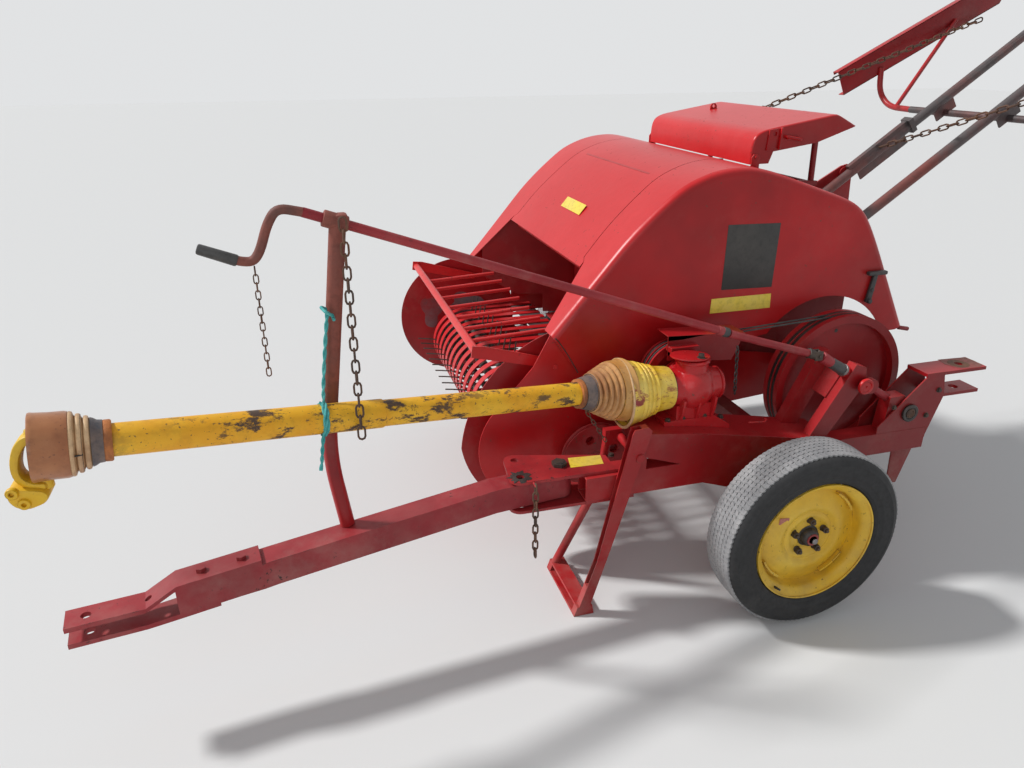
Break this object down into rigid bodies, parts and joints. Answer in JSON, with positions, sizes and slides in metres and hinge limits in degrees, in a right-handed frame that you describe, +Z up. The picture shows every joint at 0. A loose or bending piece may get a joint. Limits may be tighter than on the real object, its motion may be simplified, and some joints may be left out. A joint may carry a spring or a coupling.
{
  "type": "trailed pick-up baler",
  "caption": "Low trailed small-bale press: rounded hood with swinging ram, front tine pick-up, offset swinging drawbar with crank post, guarded drive shaft, flywheel, two wheels and rising bale chute.",
  "frame": {"origin": "on the floor, midway between the outer faces of the tyres and midway between the front of the drawbar and the rear tip of the bale chute", "axes": "+X to the machine's left, +Y to its rear, against the direction of travel, +Z up"},
  "size_m": [2.06, 4.7713, 2.3553],
  "materials": {
    "red_paint": "faded glossy red paint, worn at the edges",
    "dark_red_paint": "red paint, darkened by grease and dust",
    "yellow_paint": "yellow paint with rust spots",
    "tyre_rubber": "dusty tyre rubber",
    "belt_rubber": "worn belt rubber",
    "worn_steel": "worn bare steel tube",
    "rusty_steel": "rusty steel",
    "guard_plastic": "yellow plastic guard, worn and stained",
    "tine_steel": "spring steel tines",
    "rope_fibre": "teal plastic cord"
  },
  "bodies": {
    "chassis": {"left_beam": "red_paint", "pivot_plates": "red_paint", "axle_beam": "dark_red_paint", "cross_members": "dark_red_paint", "bale_chamber": "dark_red_paint", "feed_walls": "red_paint", "hood_left": "red_paint", "hood_right": "red_paint", "hood_centre": "red_paint", "knotter_table": "dark_red_paint", "chute_brackets": "red_paint", "gearbox": "red_paint", "drive_belts": "belt_rubber", "belt_guard": "red_paint", "spindle_bracket": "red_paint", "lift_spindle": "rusty_steel", "drawbar_pins": "rusty_steel", "lock_pin_chain": "rusty_steel", "shaft_guard": "guard_plastic", "shaft_cones": "guard_plastic", "shaft_yoke": "yellow_paint", "sling_rope": "rope_fibre", "wagon_hitch": "red_paint"},
    "left_wheel": {"left_rim": "yellow_paint", "left_tyre": "tyre_rubber"},
    "right_wheel": {"right_rim": "yellow_paint", "right_tyre": "tyre_rubber"},
    "drawbar_body": {"drawbar": "red_paint", "crank_post": "rusty_steel", "crank_rod": "rusty_steel", "post_chains": "rusty_steel"},
    "stand_body": {"parking_stand": "red_paint"},
    "flywheel_body": {"flywheel": "red_paint"},
    "drive_pulley_body": {"drive_pulley": "red_paint"},
    "pickup_pulley_body": {"pickup_pulley": "red_paint"},
    "pickup_body": {"pickup_frame": "red_paint", "stripper_bands": "red_paint"},
    "reel_body": {"tine_reel": "tine_steel"},
    "wind_guard_body": {"wind_guard": "red_paint"},
    "knotter_cover_body": {"knotter_cover": "red_paint"},
    "chute_body": {"chute_rails": "worn_steel", "chute_guides": "dark_red_paint", "stay_chains": "rusty_steel"}
  },
  "joints": [
    {"name": "left_wheel_spin", "type": "hinge", "parent": "chassis", "child": "left_wheel", "pos_m": [0.947, -0.23693, 0.308], "axis": [1, 0, 0], "continuous": true},
    {"name": "right_wheel_spin", "type": "hinge", "parent": "chassis", "child": "right_wheel", "pos_m": [-0.947, -0.23693, 0.308], "axis": [1, 0, 0], "continuous": true},
    {"name": "drawbar_swing", "type": "hinge", "parent": "chassis", "child": "drawbar_body", "pos_m": [0.661, -0.96593, 0.455], "axis": [0, 0, -1], "range_deg": [0, 43.6], "deforming": ["post_chains"]},
    {"name": "stand_fold", "type": "hinge", "parent": "chassis", "child": "stand_body", "pos_m": [0.74, -0.74493, 0.565], "axis": [1, 0, 0], "range_deg": [0, 68]},
    {"name": "flywheel_spin", "type": "hinge", "parent": "chassis", "child": "flywheel_body", "pos_m": [0.53, 0.12807, 0.62], "axis": [1, 0, 0], "continuous": true},
    {"name": "drive_pulley_spin", "type": "hinge", "parent": "chassis", "child": "drive_pulley_body", "pos_m": [0.53, -0.51793, 0.728], "axis": [1, 0, 0], "continuous": true},
    {"name": "pickup_lift", "type": "hinge", "parent": "chassis", "child": "pickup_body", "pos_m": [-0.15, -0.76693, 0.42], "axis": [-1, 0, 0], "range_deg": [0, 20]},
    {"name": "pickup_pulley_spin", "type": "hinge", "parent": "chassis", "child": "pickup_pulley_body", "pos_m": [0.48, -0.76693, 0.42], "axis": [1, 0, 0], "continuous": true},
    {"name": "reel_spin", "type": "hinge", "parent": "pickup_body", "child": "reel_body", "pos_m": [-0.2, -0.95693, 0.465], "axis": [1, 0, 0], "continuous": true},
    {"name": "wind_guard_lift", "type": "hinge", "parent": "chassis", "child": "wind_guard_body", "pos_m": [-0.19, -0.90493, 0.752], "axis": [-1, 0, 0], "range_deg": [0, 40]},
    {"name": "knotter_cover_lift", "type": "hinge", "parent": "chassis", "child": "knotter_cover_body", "pos_m": [-0.15, -0.11693, 1.38], "axis": [1, 0, 0], "range_deg": [0, 60]},
    {"name": "chute_lift", "type": "hinge", "parent": "chassis", "child": "chute_body", "pos_m": [-0.15, 0.54307, 1.061], "axis": [1, 0, 0], "range_deg": [-35, 45], "deforming": ["stay_chains"]}
  ],
  "couplings": [
    {"joint": "drive_pulley_spin", "follows": "flywheel_spin", "ratio": 2.3558},
    {"joint": "reel_spin", "follows": "pickup_pulley_spin", "ratio": 1}
  ]
}
